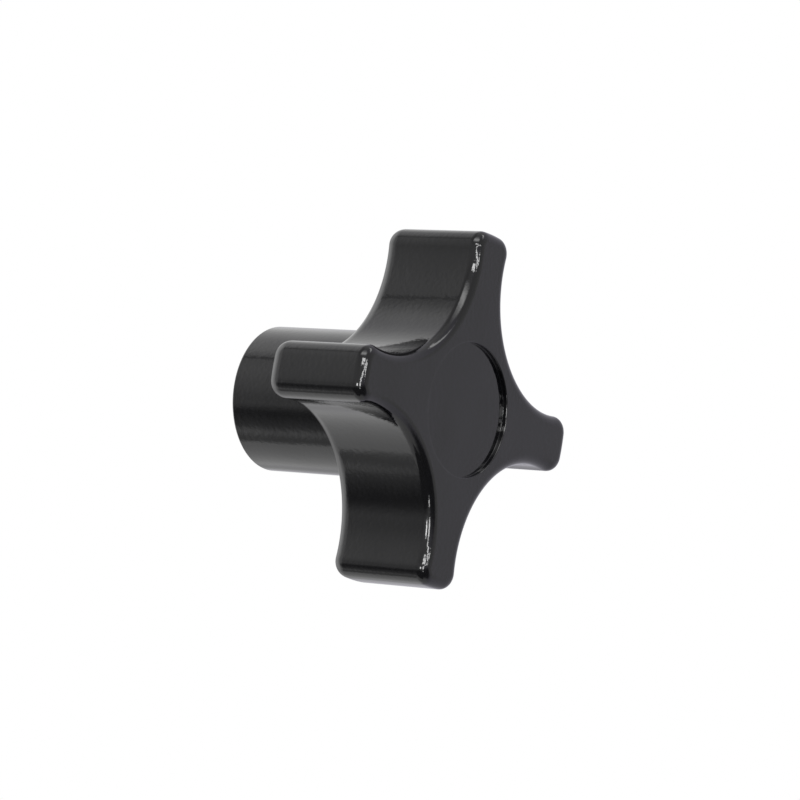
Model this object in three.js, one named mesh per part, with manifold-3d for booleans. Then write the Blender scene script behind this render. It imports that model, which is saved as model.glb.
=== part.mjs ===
// Four-arm clamping knob: a glossy moulded body around a brass insert with a blind thread.
//
// Millimetres, +Z up. The knob's axis is Y. Its hub ends in a flat seat in the plane y = 0, and its
// grip face looks along -Y. The four arms point along +X, -X, +Z and -Z.

import * as THREE from "three";
import { mergeVertices } from "three/addons/utils/BufferGeometryUtils.js";
import Module from "manifold-3d";

const wasm = await Module();
wasm.setup();

// Grip: the cross-shaped end that the hand holds.
const armCount = 4;
const armSpan = 50; // across two opposite arm tips
const gripDepth = 16.4; // the arms' thickness along the axis
const valleyRadius = 16.4; // concave arc from one arm to the next
const valleyFloor = 12.2; // from the axis to the bottom of that arc
const tipCornerRadius = 2.4; // where an arm's rounded end meets its two flanks
const frontEdgeRadius = 1.5; // rounding along the outline of the grip face
const rearEdgeRadius = 2.3; // rounding along the outline of the arms' backs

// Round recess in the middle of the grip face.
const recessDiameter = 18.7;
const recessDepth = 0.7;
const recessRimRadius = 0.2;

// Hub: the collar that stands behind the arms.
const overallHeight = 33.5; // from the hub's seat to the grip face
const hubDiameter = 20.6;
const hubEdgeRadius = 0.4; // round the seat
const hubRootRadius = 0.4; // where the hub meets the back of the arms

// Thread, metric coarse, right-handed, cut to its full depth from the seat.
const threadMajor = 10;
const threadPitch = 1.5;
const threadDepth = 20;
const drillDepth = 22;
const drillPointAngle = 118; // degrees, as on a twist drill
const mouthDiameter = 10.8; // countersink at the seat
const flankAngle = 30; // degrees, of each side of the thread's groove
const minorPerPitch = 1.0825; // how far the minor diameter is under the major one, in pitches
const rootFlatPerPitch = 1 / 8; // the flat at the groove's root, in pitches

// Insert: knurled brass bush that the body is moulded round.
const insertLength = 26;
const insertDiameter = 14;
const collarLength = 2.5; // smooth ring at the mouth
const grooveDiameter = 12.2;
const grooveWidth = 3; // turned grooves that the moulding locks into
const knurlBands = 2;
const knurlTeeth = 24;
const knurlDepth = 0.5;
const mouldGap = 0.3; // left between the body and the insert

// How finely round things are cut.
const valleySteps = 16;
const cornerSteps = 4;
const edgeSteps = 3;
const roundSides = 48;
const threadSides = 20;
const threadTaperSteps = 10; // run-out at each end of the thread

const armReach = armSpan / 2;
const gripBackY = gripDepth - overallHeight;
const threadMinor = threadMajor - minorPerPitch * threadPitch;
const overcut = 1; // how far a cutter stands out of the face it opens
const groovePlay = 0.2; // how far the thread's cutter starts inside the drilled hole
const leadTurns = 1; // of the thread's cutter that run out past the seat
const weldDistance = 1e-5; // vertices closer than this are the same one

// A closed three.js geometry as a solid that can be joined and cut.
function solid(geometry) {
  geometry.deleteAttribute("normal");
  geometry.deleteAttribute("uv");
  const merged = mergeVertices(geometry, weldDistance);
  const mesh = new wasm.Mesh({
    numProp: 3,
    vertProperties: merged.attributes.position.array,
    triVerts: Uint32Array.from(merged.index.array),
  });
  mesh.merge();
  return new wasm.Manifold(mesh);
}

// A named mesh from a finished solid.
function piece(name, shape, material) {
  const { vertProperties, triVerts } = shape.getMesh();
  const geometry = new THREE.BufferGeometry();
  geometry.setAttribute("position", new THREE.BufferAttribute(vertProperties, 3));
  geometry.setIndex(new THREE.BufferAttribute(triVerts, 1));
  geometry.computeVertexNormals();
  const mesh = new THREE.Mesh(geometry, material);
  mesh.name = name;
  return mesh;
}

// A solid of revolution about Y, from [radius, y] pairs that run upwards and outwards first.
function turned(profile, sides) {
  const points = profile.map(([radius, y]) => new THREE.Vector2(radius, y));
  return solid(new THREE.LatheGeometry(points, sides));
}

// [radius, y] pairs along a quarter circle, for a turned profile.
function quarter(centreRadius, centreY, radius, fromAngle) {
  const curve = new THREE.EllipseCurve(
    centreRadius, centreY, radius, radius, fromAngle, fromAngle + Math.PI / 2, false,
  );
  return curve.getPoints(edgeSteps).map((point) => [point.x, point.y]);
}

// A flat outline in the X-Z plane made thick along Y, between two values of y.
function slab(outline, frontY, backY, bevel) {
  const rounding = bevel
    ? { bevelEnabled: true, bevelThickness: bevel, bevelSize: bevel, bevelOffset: -bevel }
    : { bevelEnabled: false };
  const geometry = new THREE.ExtrudeGeometry(new THREE.Shape(outline), {
    depth: backY - frontY - 2 * bevel,
    bevelSegments: edgeSteps,
    ...rounding,
  });
  geometry.translate(0, 0, -backY + bevel);
  geometry.rotateX(Math.PI / 2);
  return solid(geometry);
}

// One quarter of the cross: the middle of an arm's end, which follows the circle across the arms,
// then its corner, the valley and the next arm's corner.
function quadrant() {
  const valleyOut = valleyFloor + valleyRadius;
  const valleyCentre = valleyOut / Math.SQRT2;
  const cornerOut = armReach - tipCornerRadius;
  const between = Math.acos(
    (cornerOut ** 2 + valleyOut ** 2 - (valleyRadius + tipCornerRadius) ** 2) /
      (2 * cornerOut * valleyOut),
  );
  const endHalfAngle = Math.PI / 4 - between;
  const cornerX = cornerOut * Math.cos(endHalfAngle);
  const cornerZ = cornerOut * Math.sin(endHalfAngle);
  const meet = Math.atan2(valleyCentre - cornerZ, valleyCentre - cornerX);
  const arc = (x, z, radius, from, to, steps, clockwise) =>
    new THREE.EllipseCurve(x, z, radius, radius, from, to, clockwise).getPoints(steps);
  const first = arc(cornerX, cornerZ, tipCornerRadius, endHalfAngle, meet, cornerSteps, false);
  const valley = arc(
    valleyCentre, valleyCentre, valleyRadius,
    meet + Math.PI, Math.PI * 1.5 - meet, valleySteps, true,
  );
  const second = arc(
    cornerZ, cornerX, tipCornerRadius, Math.PI / 2 - meet, Math.PI / 2 - endHalfAngle,
    cornerSteps, false,
  );
  return [new THREE.Vector2(armReach, 0), ...first, ...valley.slice(1, -1), ...second];
}

// The whole cross, arm by arm.
function crossOutline() {
  const outline = [];
  for (let arm = 0; arm < armCount; arm++) {
    const turn = (arm * 2 * Math.PI) / armCount;
    outline.push(...quadrant().map((point) => point.rotateAround(new THREE.Vector2(), turn)));
  }
  return outline;
}

// The front and the rear half overlap, because each has its own edge rounding.
function grip() {
  const middleY = (gripBackY - overallHeight) / 2;
  const front = slab(crossOutline(), -overallHeight, middleY + frontEdgeRadius, frontEdgeRadius);
  const rear = slab(crossOutline(), middleY - rearEdgeRadius, gripBackY, rearEdgeRadius);
  return front.add(rear);
}

function hub() {
  const radius = hubDiameter / 2;
  const insideY = gripBackY - gripDepth / 2;
  const rootOuter = radius + hubRootRadius;
  const root = quarter(rootOuter, gripBackY + hubRootRadius, hubRootRadius, Math.PI).reverse();
  const seatEdge = quarter(radius - hubEdgeRadius, -hubEdgeRadius, hubEdgeRadius, 0);
  return turned([[0, insideY], [rootOuter, insideY], ...root, ...seatEdge, [0, 0]], roundSides);
}

function recess() {
  const radius = recessDiameter / 2;
  const rimOuter = radius + recessRimRadius;
  const floorY = recessDepth - overallHeight;
  const frontY = -overallHeight - overcut;
  const rim = quarter(rimOuter, recessRimRadius - overallHeight, recessRimRadius, Math.PI).reverse();
  return turned([[0, frontY], [rimOuter, frontY], ...rim, [radius, floorY], [0, floorY]], roundSides);
}

// A ring of straight knurl teeth, as an outline.
function knurlOutline(tipRadius) {
  const outline = [];
  for (let step = 0; step < 2 * knurlTeeth; step++) {
    const angle = (step * Math.PI) / knurlTeeth;
    const radius = step % 2 ? tipRadius - knurlDepth : tipRadius;
    outline.push(new THREE.Vector2(radius * Math.cos(angle), radius * Math.sin(angle)));
  }
  return outline;
}

// The insert's outside: a grooved core, a smooth collar at the mouth and bands of knurl.
// clearance grows it all round, which gives the hollow that it sits in.
function insertOutside(clearance) {
  const coreRadius = grooveDiameter / 2 + clearance;
  const outerRadius = insertDiameter / 2 + clearance;
  const deepY = -insertLength - clearance;
  const mouthY = clearance;
  let shape = turned([[0, deepY], [coreRadius, deepY], [coreRadius, mouthY], [0, mouthY]], roundSides);
  const collarBackY = -collarLength - clearance;
  shape = shape.add(turned(
    [[0, collarBackY], [outerRadius, collarBackY], [outerRadius, mouthY], [0, mouthY]],
    roundSides,
  ));
  const bandLength = (insertLength - collarLength - knurlBands * grooveWidth) / knurlBands;
  for (let band = 0; band < knurlBands; band++) {
    const nearY = -collarLength - grooveWidth - band * (bandLength + grooveWidth);
    shape = shape.add(
      slab(knurlOutline(outerRadius), nearY - bandLength - clearance, nearY + clearance, 0),
    );
  }
  return shape;
}

// The drilled hole with its pointed end and the countersink at the mouth.
function drilledHole() {
  const radius = threadMinor / 2;
  const mouth = mouthDiameter / 2;
  const point = radius / Math.tan(THREE.MathUtils.degToRad(drillPointAngle / 2));
  return turned(
    [[0, -drillDepth - point], [radius, -drillDepth], [radius, radius - mouth], [mouth, 0],
      [mouth, overcut], [0, overcut]],
    threadSides,
  );
}

// The thread's groove. Its section is turned through every turn of the thread and climbs one pitch
// a turn, right-handed, and it shrinks to nothing at both ends, as a tap's run-out does.
function threadGroove() {
  const innerRadius = threadMinor / 2 - groovePlay;
  const rootRadius = threadMajor / 2;
  const rootHalf = (rootFlatPerPitch * threadPitch) / 2;
  const slope = Math.tan(THREE.MathUtils.degToRad(flankAngle));
  const innerHalf = rootHalf + slope * (rootRadius - innerRadius);
  const section = [
    [innerRadius, -innerHalf], [rootRadius, -rootHalf], [rootRadius, rootHalf],
    [innerRadius, innerHalf], [innerRadius, -innerHalf],
  ].map(([radius, y]) => new THREE.Vector2(radius, y));
  const turns = threadDepth / threadPitch + leadTurns;
  const steps = Math.round(turns * threadSides);
  const geometry = new THREE.LatheGeometry(section, steps, 0, 2 * Math.PI * turns);
  const position = geometry.attributes.position;
  for (let step = 0; step <= steps; step++) {
    const angle = (step / steps) * 2 * Math.PI * turns;
    const climb = (step / steps) * turns * threadPitch - threadDepth;
    const size = Math.min(1, step / threadTaperSteps, (steps - step) / threadTaperSteps);
    section.forEach((corner, index) => {
      const radius = innerRadius + (corner.x - innerRadius) * size;
      position.setXYZ(
        step * section.length + index,
        radius * Math.sin(angle), climb + corner.y * size, radius * Math.cos(angle),
      );
    });
  }
  return solid(geometry);
}

function knobBody() {
  return grip().add(hub()).subtract(recess()).subtract(insertOutside(mouldGap));
}

function threadedInsert() {
  return insertOutside(0).subtract(drilledHole()).subtract(threadGroove());
}

const glossBlack = new THREE.MeshStandardMaterial({
  color: new THREE.Color(0.012, 0.012, 0.014), roughness: 0.22, metalness: 0,
});
const brass = new THREE.MeshStandardMaterial({
  color: new THREE.Color(0.72, 0.5, 0.2), roughness: 0.35, metalness: 1,
});

const knob = new THREE.Group();
knob.add(piece("knob_body", knobBody(), glossBlack));
knob.add(piece("threaded_insert", threadedInsert(), brass));

export default knob;
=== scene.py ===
import math
from collections import namedtuple

import bmesh
import bpy
import numpy as np
from mathutils import Matrix, Vector


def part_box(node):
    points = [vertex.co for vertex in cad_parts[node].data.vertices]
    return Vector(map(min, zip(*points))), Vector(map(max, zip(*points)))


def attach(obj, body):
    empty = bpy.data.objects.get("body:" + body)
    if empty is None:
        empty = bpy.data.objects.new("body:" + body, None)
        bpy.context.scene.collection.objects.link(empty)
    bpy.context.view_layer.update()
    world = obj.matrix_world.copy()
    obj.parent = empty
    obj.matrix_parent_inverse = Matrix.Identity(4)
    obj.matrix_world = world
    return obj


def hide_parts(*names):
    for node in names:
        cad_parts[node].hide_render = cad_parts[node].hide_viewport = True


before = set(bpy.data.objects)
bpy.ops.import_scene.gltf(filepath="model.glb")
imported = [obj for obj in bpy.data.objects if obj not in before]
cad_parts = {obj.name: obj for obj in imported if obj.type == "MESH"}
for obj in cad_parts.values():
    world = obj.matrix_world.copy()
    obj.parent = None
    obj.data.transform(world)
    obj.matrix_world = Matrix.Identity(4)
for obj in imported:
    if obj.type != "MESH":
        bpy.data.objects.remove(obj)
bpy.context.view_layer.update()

# Four-arm clamping knob. Metres, in the frame's own axes: the knob's axis is Y, the hub's seat is
# in the plane y = 0, the grip face looks along -Y and the arms point along +-X and +-Z.

MM = 0.001
BODY_LOW, BODY_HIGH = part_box("knob_body")
INSERT_LOW, INSERT_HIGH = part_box("threaded_insert")

# Grip
ARM_REACH = BODY_HIGH.x
FACE_Y = BODY_LOW.y
GRIP_DEPTH = 16.4 * MM
VALLEY_RADIUS = 16.4 * MM
VALLEY_FLOOR = 12.2 * MM
TIP_CORNER = 2.4 * MM
FRONT_EDGE = 1.5 * MM
BACK_EDGE = 2.3 * MM
EDGE_FULLNESS = 2.15  # 2 is a plain quarter circle; above it the edge eases into the faces

# Recess in the grip face
RECESS_RADIUS = 9.35 * MM
RECESS_DEPTH = 0.7 * MM
RECESS_RIM = 0.15 * MM
RECESS_CORNER = 0.06 * MM
CENTRE_RADIUS = 0.3 * MM  # the floor's innermost ring, round its middle point

# Hub
HUB_RADIUS = 10.3 * MM
HUB_ROOT = 0.4 * MM
HUB_EDGE = 0.3 * MM
GRIP_BACK_Y = FACE_Y + GRIP_DEPTH

# Insert
INSERT_RADIUS = INSERT_HIGH.x
INSERT_DEEP_Y = INSERT_LOW.y
COLLAR_LENGTH = 2.5 * MM
GROOVE_RADIUS = 6.1 * MM
GROOVE_WIDTH = 3 * MM
KNURL_BANDS = 2
KNURL_TEETH = 24
KNURL_DEPTH = 0.5 * MM
INSERT_CHAMFER = 0.2 * MM
CHAMFER_BULGE = 0.3  # where the rounded chamfer's middle lies, as a share of it
DEEP_END_RADII = (0.5 * MM, 3 * MM, GROOVE_RADIUS)
SEAM = 0.04 * MM  # the hairline between the moulding and the brass
SEAM_MOUTH = 3 * SEAM  # the same hairline where it opens at the seat

# Thread
THREAD_RADIUS = 5 * MM
THREAD_PITCH = 1.5 * MM
THREAD_DEPTH = 20 * MM
DRILL_DEPTH = 22 * MM
DRILL_POINT_ANGLE = math.radians(118)
MOUTH_RADIUS = 5.4 * MM
MOUTH_LIP = 0.02 * MM
THREAD_HEIGHT = 0.5413 * THREAD_PITCH  # the metric profile's
BORE_RADIUS = THREAD_RADIUS - THREAD_HEIGHT
CREST_FLAT = 0.25  # shares of the pitch
ROOT_FLAT = 0.125
THREAD_RUNOUT = 1.2 * THREAD_PITCH  # the thread fades out over this length at its deep end

# Mesh density
TIP_STEPS = 12
CORNER_STEPS = 14
VALLEY_STEPS = 110
EDGE_STEPS = 14
ROUND_STEPS = 192
THREAD_ROWS = 12  # per pitch
RECESS_RINGS = 12
RECESS_CORNER_STEPS = 3
RIM_STEPS = 6
FACE_RINGS = 16
FLANK_RINGS = 8
BACK_RINGS = 10
HUB_RINGS = 12
HUB_EDGE_STEPS = 8
SEAT_RINGS = 6
MOUTH_RINGS = 5
DRILL_SHARES = (1, 0.98, 0.7, 0.3)  # the drill point's rings, as shares of the bore
HOLD = 0.08 * MM  # how close to a stretch's end its extra rings lie
SEAT_HOLD = 0.06 * MM
FACE_HOLD = 0.008  # a share of the way from the recess to the edge
SAME_POINT = 1e-6 * MM
EDGE_BORDER = 0.08 * MM  # a strip of the flat that follows each rounded edge
FLAT_COSINE = 0.99999  # a face whose normal is this close to the axis is flat


# ---------------------------------------------------------------- outlines and rings

def arc(centre_x, centre_z, radius, start, end, steps):
    """Points along an arc, its last point left off."""
    angle = np.linspace(start, end, steps, endpoint=False)
    return np.column_stack((centre_x + radius * np.cos(angle), centre_z + radius * np.sin(angle)))


def cross_outline(inset):
    """The cross seen along the axis, shrunk inwards by inset. Each inset has matching points.
    The arms' ends follow the circle across the arms."""
    valley_out = VALLEY_FLOOR + VALLEY_RADIUS
    corner_out = ARM_REACH - TIP_CORNER
    reach = VALLEY_RADIUS + TIP_CORNER
    squares = corner_out ** 2 + valley_out ** 2 - reach ** 2
    between = math.acos(squares / (2 * corner_out * valley_out))
    end = math.pi / 4 - between
    corner_x, corner_z = corner_out * math.cos(end), corner_out * math.sin(end)
    centre = valley_out / math.sqrt(2)
    meet = math.atan2(centre - corner_z, centre - corner_x)
    corner = TIP_CORNER - inset
    valley = VALLEY_RADIUS + inset
    quarter_turn = math.pi / 2
    quadrant = np.vstack((
        arc(0, 0, ARM_REACH - inset, -end, end, TIP_STEPS),
        arc(corner_x, corner_z, corner, end, meet, CORNER_STEPS),
        arc(centre, centre, valley, math.pi + meet, 3 * quarter_turn - meet, VALLEY_STEPS),
        arc(corner_z, corner_x, corner, quarter_turn - meet, quarter_turn - end, CORNER_STEPS),
    ))
    quadrants = []
    for quarter in range(4):
        turn = quarter * quarter_turn
        spin = np.array([[math.cos(turn), math.sin(turn)], [-math.sin(turn), math.cos(turn)]])
        quadrants.append(quadrant @ spin)
    return np.vstack(quadrants)


def circle(radius, angles):
    return radius * np.column_stack((np.cos(angles), np.sin(angles)))


def polar(outline):
    """The angles of an outline's points seen from the axis, never running backwards."""
    return np.maximum.accumulate(np.unwrap(np.arctan2(outline[:, 1], outline[:, 0])))


def at_height(outline, y):
    """A flat outline as a ring of points at one place along the knob's axis."""
    return np.column_stack((outline[:, 0], np.full(len(outline), y), outline[:, 1]))


def eased_quarter(steps, fullness=2.0):
    """(across, along) pairs from (1, 0) to (0, 1) of a rounded edge, as shares of its radius."""
    angle = np.linspace(0, math.pi / 2, steps + 1)
    across = 1 - np.sin(angle) ** (2 / fullness)
    along = 1 - np.cos(angle) ** (2 / fullness)
    return list(zip(across, along))


def spread(start, end, steps, hold):
    """Values from start to end that crowd within hold of each end, so that flats stay flat."""
    inner = np.linspace(0, 1, steps)
    ends = hold / abs(end - start)
    shares = np.concatenate(([0], ends + (1 - 2 * ends) * inner, [1]))
    return start + (end - start) * shares


def bridge(mesh, loop, following):
    """Faces between two loops of the same length."""
    for index in range(len(loop)):
        after = (index + 1) % len(loop)
        mesh.faces.new((loop[index], loop[after], following[after], following[index]))


def close_end(mesh, loop, point):
    """Closes a loop with faces that meet at one point."""
    middle = mesh.verts.new(point)
    for index in range(len(loop)):
        mesh.faces.new((loop[index], loop[(index + 1) % len(loop)], middle))


def stacked(mesh, rings):
    """Loops of vertices through the rings, each joined to the next."""
    loops = [[mesh.verts.new(point) for point in ring] for ring in rings]
    for loop, following in zip(loops, loops[1:]):
        bridge(mesh, loop, following)
    return loops


def finished(name, mesh):
    """Turns a bmesh into an object with its faces looking outwards. It is smooth-shaded but for
    the faces square to the axis."""
    bmesh.ops.remove_doubles(mesh, verts=mesh.verts, dist=SAME_POINT)
    bmesh.ops.recalc_face_normals(mesh, faces=mesh.faces)
    data = bpy.data.meshes.new(name)
    mesh.to_mesh(data)
    mesh.free()
    data.shade_smooth()
    for face in data.polygons:
        face.use_smooth = abs(face.normal.y) < FLAT_COSINE
    piece = bpy.data.objects.new(name, data)
    bpy.context.scene.collection.objects.link(piece)
    return piece


# ---------------------------------------------------------------- the moulded body

def outside_hub(outline, root):
    """The outline with each point that would lie inside the hub's root moved out onto it."""
    inside_root = np.hypot(*outline.T) < np.hypot(*root.T)
    return np.where(inside_root[:, None], root, outline)


def circles(rows, angles):
    """A round ring for each (radius, y)."""
    return [at_height(circle(radius, angles), y) for radius, y in rows]


def blended(inner, outer, y, shares):
    """Flat rings between a circle, share 0, and the cross, share 1."""
    return [at_height(inner + (outer - inner) * share, y) for share in shares]


def face_rings():
    """From the middle of the recess over its rim and the grip face to the front edge."""
    outer = cross_outline(FRONT_EDGE)
    angles = polar(outer)
    floor_y = FACE_Y + RECESS_DEPTH
    radii = spread(CENTRE_RADIUS, RECESS_RADIUS - RECESS_CORNER, RECESS_RINGS, HOLD)
    rows = [(radius, floor_y) for radius in radii]
    for across, along in eased_quarter(RECESS_CORNER_STEPS)[1:]:
        rows.append((RECESS_RADIUS - across * RECESS_CORNER, floor_y - along * RECESS_CORNER))
    for along, across in eased_quarter(RIM_STEPS):
        rows.append((RECESS_RADIUS + across * RECESS_RIM, FACE_Y + along * RECESS_RIM))
    rim = circle(RECESS_RADIUS + RECESS_RIM, angles)
    border = cross_outline(FRONT_EDGE + EDGE_BORDER)
    flat = blended(rim, border, FACE_Y, spread(0, 1, FACE_RINGS, FACE_HOLD)[1:])
    return circles(rows, angles) + flat + [at_height(outer, FACE_Y)]


def grip_rings():
    """Over the front edge, down the flanks, over the back edge and in to the hub's root."""
    rings = []
    for across, along in eased_quarter(EDGE_STEPS, EDGE_FULLNESS)[1:]:
        rings.append(at_height(cross_outline(across * FRONT_EDGE), FACE_Y + along * FRONT_EDGE))
    flank = cross_outline(0)
    for y in spread(FACE_Y + FRONT_EDGE, GRIP_BACK_Y - BACK_EDGE, FLANK_RINGS, HOLD)[1:]:
        rings.append(at_height(flank, y))
    root = circle(HUB_RADIUS + HUB_ROOT, polar(cross_outline(BACK_EDGE)))
    for along, across in eased_quarter(EDGE_STEPS, EDGE_FULLNESS)[1:]:
        outline = outside_hub(cross_outline(across * BACK_EDGE), root)
        rings.append(at_height(outline, GRIP_BACK_Y - along * BACK_EDGE))
    border = outside_hub(cross_outline(BACK_EDGE + EDGE_BORDER), root)
    return rings + blended(root, border, GRIP_BACK_Y, np.linspace(1, 0, BACK_RINGS))


def hub_rings():
    """Down the hub, over its seat and into the cavity that holds the insert."""
    angles = polar(cross_outline(BACK_EDGE))
    rows = []
    for across, along in eased_quarter(RIM_STEPS)[1:]:
        rows.append((HUB_RADIUS + across * HUB_ROOT, GRIP_BACK_Y + along * HUB_ROOT))
    for y in spread(GRIP_BACK_Y + HUB_ROOT, -HUB_EDGE, HUB_RINGS, HOLD)[1:]:
        rows.append((HUB_RADIUS, y))
    for along, across in eased_quarter(HUB_EDGE_STEPS)[1:]:
        rows.append((HUB_RADIUS - across * HUB_EDGE, -along * HUB_EDGE))
    for radius in spread(HUB_RADIUS - HUB_EDGE, INSERT_RADIUS + SEAM_MOUTH, SEAT_RINGS, SEAT_HOLD)[1:]:
        rows.append((radius, 0))
    rings = circles(rows, angles)
    for radius, y, knurled in insert_profile(SEAM):
        rings.append(at_height(insert_outline(radius, knurled, angles), y))
    return rings


def moulded_body():
    mesh = bmesh.new()
    loops = stacked(mesh, face_rings() + grip_rings() + hub_rings())
    close_end(mesh, loops[0], (0, FACE_Y + RECESS_DEPTH, 0))
    close_end(mesh, loops[-1], (0, INSERT_DEEP_Y - SEAM, 0))
    return finished("moulded_body", mesh)


# ---------------------------------------------------------------- the brass insert

def insert_profile(clearance):
    """(radius, y, knurled) down the insert's outside, from its mouth to its deep end."""
    outer, core = INSERT_RADIUS + clearance, GROOVE_RADIUS + clearance
    rows = [(outer, -INSERT_CHAMFER, False), (outer, -COLLAR_LENGTH - clearance, False)]
    band = (-INSERT_DEEP_Y - COLLAR_LENGTH - KNURL_BANDS * GROOVE_WIDTH) / KNURL_BANDS
    y = -COLLAR_LENGTH
    for _ in range(KNURL_BANDS):
        rows.append((core, y - clearance, False))
        y -= GROOVE_WIDTH
        rows += [(core, y + clearance, False), (outer, y + clearance, True)]
        y -= band
        rows.append((outer, y - clearance, True))
    return rows


def insert_outline(radius, knurled, angles):
    """A ring of the insert, with straight knurl teeth where it is knurled."""
    if not knurled:
        return circle(radius, angles)
    phase = (angles * KNURL_TEETH / (2 * math.pi)) % 1
    tooth = np.abs(2 * phase - 1)
    return circle((radius - KNURL_DEPTH * (1 - tooth))[:, None], angles)


def thread_radius(turns_up, y):
    """The bore's radius where the thread has made turns_up turns, at a place along the axis."""
    from_root = abs((turns_up + 0.5) % 1 - 0.5)
    crest_edge = 0.5 - CREST_FLAT / 2
    flank = (crest_edge - from_root) / (crest_edge - ROOT_FLAT / 2)
    fade = min(1, max(0, (y + THREAD_DEPTH) / THREAD_RUNOUT))
    cut = BORE_RADIUS + THREAD_HEIGHT * min(1, max(0, flank)) * fade
    return max(cut, MOUTH_RADIUS + y)


def threaded_insert():
    mesh = bmesh.new()
    angles = np.linspace(0, 2 * math.pi, ROUND_STEPS, endpoint=False)
    rings = circles([(radius, INSERT_DEEP_Y) for radius in DEEP_END_RADII], angles)
    for radius, y, knurled in reversed(insert_profile(0)):
        rings.append(at_height(insert_outline(radius, knurled, angles), y))
    outside = stacked(mesh, rings + circles(mouth_profile(), angles))
    point = BORE_RADIUS / math.tan(DRILL_POINT_ANGLE / 2)
    rows = [(BORE_RADIUS * share, -DRILL_DEPTH - point * (1 - share)) for share in DRILL_SHARES]
    drilled = stacked(mesh, circles(rows, angles))
    close_end(mesh, outside[0], (0, INSERT_DEEP_Y, 0))
    close_end(mesh, drilled[-1], (0, -DRILL_DEPTH - point, 0))
    low, high = thread_wall(mesh, angles)
    bridge(mesh, high, outside[-1])
    bridge(mesh, low, drilled[0])
    return finished("brass_insert", mesh)


def mouth_profile():
    """(radius, y) over the insert's mouth, from its chamfer to the top of the countersink."""
    outer = INSERT_RADIUS
    bulge = CHAMFER_BULGE * INSERT_CHAMFER
    rows = [(outer - bulge, -bulge), (outer - INSERT_CHAMFER, 0)]
    radii = np.linspace(outer - 1.5 * INSERT_CHAMFER, MOUTH_RADIUS, MOUTH_RINGS)
    rows += [(radius, 0) for radius in radii]
    return rows + [(MOUTH_RADIUS - MOUTH_LIP, -MOUTH_LIP)]


def thread_wall(mesh, angles):
    """The threaded wall as one helical grid. Its first and last turns flatten into level rings,
    which are returned, so that the drilled end and the mouth join on."""
    top = -MOUTH_LIP
    turns = (top + THREAD_DEPTH) / THREAD_PITCH
    rows = int(math.ceil((turns + 1) * THREAD_ROWS))
    grid = []
    for row in range(rows + 1):
        line = []
        for step, angle in enumerate(angles):
            climb = row / THREAD_ROWS + step / ROUND_STEPS - 1
            y = min(top, max(0, climb) * THREAD_PITCH - THREAD_DEPTH)
            turns_up = (y + THREAD_DEPTH) / THREAD_PITCH - step / ROUND_STEPS
            radius = thread_radius(turns_up, y)
            line.append(mesh.verts.new((radius * math.cos(angle), y, radius * math.sin(angle))))
        grid.append(line)
    for row in range(rows):
        for step in range(ROUND_STEPS - 1):
            low, high = grid[row], grid[row + 1]
            mesh.faces.new((low[step], low[step + 1], high[step + 1], high[step]))
        seam = row + THREAD_ROWS
        if seam + 1 <= rows:
            mesh.faces.new((grid[row][-1], grid[seam][0], grid[seam + 1][0], grid[row + 1][-1]))
    return grid[0], grid[-1]


body = moulded_body()
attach(body, "root")
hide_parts("knob_body")

insert = threaded_insert()
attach(insert, "root")
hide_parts("threaded_insert")


# ---------------------------------------------------------------- materials

BROAD_NOISE = (0.3, 0.7)  # the part of its range that soft noise mostly fills

# Plastic
PLASTIC_BLACK = (0.002, 0.002, 0.0025, 1)
PLASTIC_IOR = 1.5
PLASTIC_ROUGHNESS = (0.03, 0.08)
PEEL_SIZE = 0.6 * MM  # the moulding's faint orange peel
PEEL_HEIGHT = 0.015 * MM
WAVE_SIZE = 7 * MM  # slow waves, as the thick arms shrink a little unevenly
WAVE_HEIGHT = 0.05 * MM
SCUFF_SIZE = 0.25 * MM
SCUFF_STRETCH = 0.06
SCUFF_TURN = (0.3, 0.5, 0.9)
SCUFF_NOISE = (0.7, 0.78)
SCUFF_ROUGHNESS = (0, 0.12)

# Brass
BRASS_CLEAN = (0.78, 0.56, 0.24, 1)
BRASS_DULL = (0.6, 0.39, 0.15, 1)
BRASS_ROUGHNESS = (0.2, 0.34)
TOOL_MARK = 0.08 * MM  # distance between two turning marks
TOOL_HEIGHT = 0.002 * MM
TARNISH_SIZE = 3 * MM
TARNISH_NOISE = (0.4, 0.7)

# Floor
FLOOR_GREY = (0.85, 0.85, 0.85, 1)
FLOOR_ROUGHNESS = (0.75, 0.95)
FLOOR_GRAIN = 40 * MM


def principled(name, **inputs):
    """A material and its shader, with the given sockets set."""
    material = bpy.data.materials.new(name)
    material.use_nodes = True
    shader = material.node_tree.nodes["Principled BSDF"]
    for socket, value in inputs.items():
        shader.inputs[socket.replace("_", " ")].default_value = value
    return material, shader


def math_node(tree, operation, *values):
    """A sum, product or function of values. Each is a constant or an output."""
    node = tree.nodes.new("ShaderNodeMath")
    node.operation = operation
    for socket, value in zip(node.inputs, values):
        if isinstance(value, (int, float)):
            socket.default_value = value
        else:
            tree.links.new(value, socket)
    return node.outputs[0]


def mixed(tree, share, first, second):
    """A colour between first and second. Each is a constant or an output."""
    node = tree.nodes.new("ShaderNodeMix")
    node.data_type = "RGBA"
    tree.links.new(share, node.inputs["Factor"])
    for socket, colour in zip(node.inputs[6:8], (first, second)):
        if isinstance(colour, tuple):
            socket.default_value = colour
        else:
            tree.links.new(colour, socket)
    return node.outputs[2]


def noise(tree, size, detail=2.0, vector=None):
    """Soft noise from 0 to 1 with lumps of the given size."""
    node = tree.nodes.new("ShaderNodeTexNoise")
    node.inputs["Scale"].default_value = 1 / size
    node.inputs["Detail"].default_value = detail
    tree.links.new(vector or place(tree), node.inputs["Vector"])
    return node.outputs["Fac"]


def place(tree):
    return tree.nodes.new("ShaderNodeTexCoord").outputs["Object"]


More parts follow.
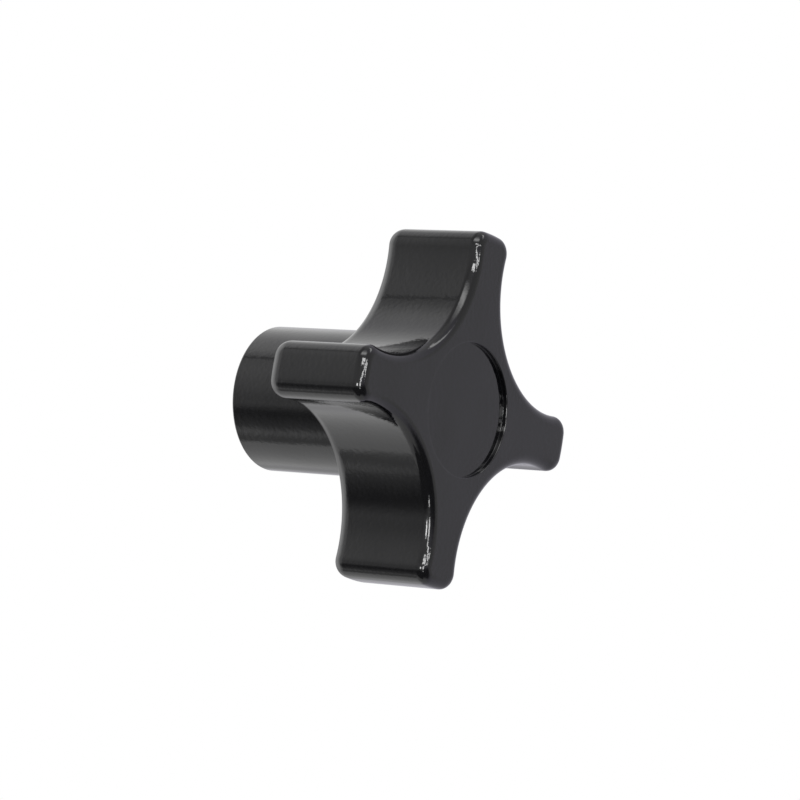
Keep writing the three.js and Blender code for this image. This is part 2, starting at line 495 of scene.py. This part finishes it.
def remapped(tree, value, old, new):
    """The value moved from the old (low, high) range to the new one."""
    node = tree.nodes.new("ShaderNodeMapRange")
    tree.links.new(value, node.inputs["Value"])
    for socket, number in zip(("From Min", "From Max", "To Min", "To Max"), old + new):
        node.inputs[socket].default_value = number
    return node.outputs[0]


def bump(tree, height, distance, normal=None):
    """A normal bent by the height, on top of another normal if one is given."""
    node = tree.nodes.new("ShaderNodeBump")
    node.inputs["Distance"].default_value = distance
    tree.links.new(height, node.inputs["Height"])
    if normal:
        tree.links.new(normal, node.inputs["Normal"])
    return node.outputs["Normal"]


def gloss_black():
    """Black moulded plastic: a glossy skin with orange peel, slow waves and a few fine scuffs."""
    material, shader = principled("gloss_black", Base_Color=PLASTIC_BLACK, IOR=PLASTIC_IOR)
    tree = material.node_tree
    stretch = tree.nodes.new("ShaderNodeMapping")
    stretch.inputs["Scale"].default_value = (SCUFF_STRETCH, 1, 1)
    stretch.inputs["Rotation"].default_value = SCUFF_TURN
    tree.links.new(place(tree), stretch.inputs["Vector"])
    scuffs = noise(tree, SCUFF_SIZE, 1, stretch.outputs[0])
    scuffs = remapped(tree, scuffs, SCUFF_NOISE, SCUFF_ROUGHNESS)
    skin = remapped(tree, noise(tree, WAVE_SIZE, 4), BROAD_NOISE, PLASTIC_ROUGHNESS)
    tree.links.new(math_node(tree, "ADD", skin, scuffs), shader.inputs["Roughness"])
    waves = bump(tree, noise(tree, WAVE_SIZE, 0), WAVE_HEIGHT)
    peel = bump(tree, noise(tree, PEEL_SIZE, 3), PEEL_HEIGHT, waves)
    tree.links.new(peel, shader.inputs["Normal"])
    return material


def turned_brass():
    """Brass with turning marks round the thread's axis and a light, uneven tarnish."""
    material, shader = principled("turned_brass", Metallic=1.0)
    tree = material.node_tree
    parts = tree.nodes.new("ShaderNodeSeparateXYZ")
    tree.links.new(place(tree), parts.inputs[0])
    x, y, z = parts.outputs
    squares = [math_node(tree, "MULTIPLY", part, part) for part in (x, z)]
    from_axis = math_node(tree, "SQRT", math_node(tree, "ADD", *squares))
    turned = tree.nodes.new("ShaderNodeCombineXYZ")
    tree.links.new(from_axis, turned.inputs[0])
    tree.links.new(y, turned.inputs[1])
    marks = noise(tree, TOOL_MARK, 2, turned.outputs[0])
    tarnish = remapped(tree, noise(tree, TARNISH_SIZE, 4), TARNISH_NOISE, (0, 1))
    colour = mixed(tree, tarnish, BRASS_CLEAN, BRASS_DULL)
    tree.links.new(colour, shader.inputs["Base Color"])
    roughness = remapped(tree, marks, BROAD_NOISE, BRASS_ROUGHNESS)
    tree.links.new(roughness, shader.inputs["Roughness"])
    tree.links.new(bump(tree, marks, TOOL_HEIGHT), shader.inputs["Normal"])
    return material


def pale_floor():
    material, shader = principled("pale_floor", Base_Color=FLOOR_GREY)
    tree = material.node_tree
    roughness = remapped(tree, noise(tree, FLOOR_GRAIN, 4), (0, 1), FLOOR_ROUGHNESS)
    tree.links.new(roughness, shader.inputs["Roughness"])
    return material


body.data.materials.append(gloss_black())
insert.data.materials.append(turned_brass())


# ---------------------------------------------------------------- stage, light and camera

AIM = Vector((-0.01 * MM, FACE_Y + 11.86 * MM, 0.86 * MM))
CAMERA_DISTANCE = 560.4 * MM
CAMERA_AZIMUTH = math.radians(-53.3)
CAMERA_ELEVATION = math.radians(-8.45)
CAMERA_ROLL = math.radians(9.6)
LENS = 180.7
CLIP_START = 0.01
FLOOR_HALF = 6
FLOOR_Z = -0.45
WHITE = (1, 1, 1, 1)


def add_camera():
    camera = bpy.data.objects.new("camera", bpy.data.cameras.new("camera"))
    bpy.context.scene.collection.objects.link(camera)
    backwards = Vector((
        math.sin(CAMERA_AZIMUTH) * math.cos(CAMERA_ELEVATION),
        -math.cos(CAMERA_AZIMUTH) * math.cos(CAMERA_ELEVATION),
        math.sin(CAMERA_ELEVATION),
    ))
    level = (-backwards).to_track_quat("-Z", "Y").to_matrix()
    turn = level @ Matrix.Rotation(CAMERA_ROLL, 3, "Z")
    camera.matrix_world = Matrix.Translation(AIM + backwards * CAMERA_DISTANCE) @ turn.to_4x4()
    camera.data.lens = LENS
    camera.data.sensor_width = 36
    camera.data.clip_start = CLIP_START
    bpy.context.scene.camera = camera


# The studio round the knob, painted in this order over a plain pale tent. Angles are in degrees as
# seen from the knob: azimuth is 0 in front of the grip face and grows towards +X. The soft border
# straddles a panel's edge, the tilt is its rise in elevation for each degree of azimuth, and the
# level is its brightness.
Panel = namedtuple("Panel", "azimuth elevation width height soft tilt level")
TENT = (0.69, 0.675, 0.75, 1)
PANELS = (
    # the tent's plainer side, the sweep behind the knob with a bright and a dim part, and the tent's
    # top and bottom
    Panel(-100, 0, 120, 120, 20, 0, 0.72),
    Panel(180, -10, 98, 132, 14, 0, 1.2),
    Panel(-168, 5, 34, 84, 16, 0, 1.9),
    Panel(144, -3, 32, 44, 14, 0, 0.62),
    Panel(0, 88, 360, 40, 20, 0, 0.78),
    Panel(0, -84, 360, 54, 8, 0, 0.8),
    # darker parts of the room on the camera's side
    Panel(-121, 47, 66, 40, 34, -0.5, 0.48),
    Panel(-152, 66, 120, 12, 10, 0, 0.5),
    Panel(-139, 40.5, 26, 2, 2, 0, 0.42),
    Panel(-133, -36, 34, 32, 16, 0, 0.36),
    Panel(-82, -54, 110, 60, 14, -0.1, 0.12),
    Panel(-6, -31, 74, 62, 26, 0.4, 0.1),
    Panel(-120, -12, 22, 20, 22, 0, 0.46),
    Panel(-156, -51, 34, 8, 8, 0, 0.5),
    Panel(9, 20, 88, 36, 12, -0.4, 0.6),
    # soft boxes above
    Panel(-70, 50, 60, 28, 18, 0, 2.0),
    Panel(-66, 42.5, 72, 12, 22, 0, 5.4),
    Panel(27, 60, 34, 14, 12, 0.7, 4.2),
    # lamps beside the camera
    Panel(-78, -10, 13, 13, 4, 0, 18),
    Panel(-47, -8, 13, 14, 4, 0, 14),
    Panel(-44, -27, 12, 4, 3, 0, 11),
    Panel(-50, 15, 34, 4.5, 3, 0, 15),
    Panel(-32, 7.5, 42, 3, 2, 0.27, 16),
    Panel(-4, 9.5, 9, 3, 2, 0, 16),
)


def add_world():
    """The painted studio as the light, with plain white where the camera sees past the knob."""
    world = bpy.data.worlds.new("studio")
    bpy.context.scene.world = world
    world.use_nodes = True
    tree = world.node_tree
    direction = tree.nodes.new("ShaderNodeTexCoord").outputs["Generated"]
    parts = tree.nodes.new("ShaderNodeSeparateXYZ")
    tree.links.new(direction, parts.inputs[0])
    x, y, z = parts.outputs
    azimuth = degrees(tree, "ARCTAN2", x, math_node(tree, "MULTIPLY", y, -1))
    elevation = degrees(tree, "ARCSINE", z)
    colour = TENT
    for panel in PANELS:
        colour = painted(tree, colour, panel, azimuth, elevation)
    seen = tree.nodes.new("ShaderNodeLightPath").outputs["Is Camera Ray"]
    colour = mixed(tree, seen, colour, WHITE)
    tree.links.new(colour, tree.nodes["Background"].inputs["Color"])


def degrees(tree, operation, *values):
    return math_node(tree, "DEGREES", math_node(tree, operation, *values))


def inside(tree, distance, size, soft):
    """1 within half of size, falling smoothly to 0 over the soft border that straddles its edge."""
    node = tree.nodes.new("ShaderNodeMapRange")
    node.interpolation_type = "SMOOTHSTEP"
    tree.links.new(distance, node.inputs["Value"])
    node.inputs["From Min"].default_value = (size - soft) / 2
    node.inputs["From Max"].default_value = (size + soft) / 2
    node.inputs["To Min"].default_value = 1
    node.inputs["To Max"].default_value = 0
    return node.outputs[0]


def painted(tree, colour, panel, azimuth, elevation):
    """The studio's colour with one more panel on it."""
    across = math_node(tree, "SUBTRACT", azimuth, panel.azimuth)
    across = math_node(tree, "WRAP", across, 180, -180)
    rise = math_node(tree, "MULTIPLY", across, panel.tilt)
    along = math_node(tree, "SUBTRACT", math_node(tree, "SUBTRACT", elevation, panel.elevation), rise)
    wide = inside(tree, math_node(tree, "ABSOLUTE", across), panel.width, panel.soft)
    tall = inside(tree, math_node(tree, "ABSOLUTE", along), panel.height, panel.soft)
    level = (panel.level, panel.level, panel.level, 1)
    return mixed(tree, math_node(tree, "MULTIPLY", wide, tall), colour, level)


def add_floor():
    data = bpy.data.meshes.new("floor")
    corners = [(-1, -1), (1, -1), (1, 1), (-1, 1)]
    data.from_pydata([(x * FLOOR_HALF, y * FLOOR_HALF, FLOOR_Z) for x, y in corners], [], [(0, 1, 2, 3)])
    floor = bpy.data.objects.new("floor", data)
    bpy.context.scene.collection.objects.link(floor)
    data.materials.append(pale_floor())
    floor.visible_glossy = False


add_camera()
add_world()
add_floor()
bpy.context.scene.view_settings.view_transform = "Standard"
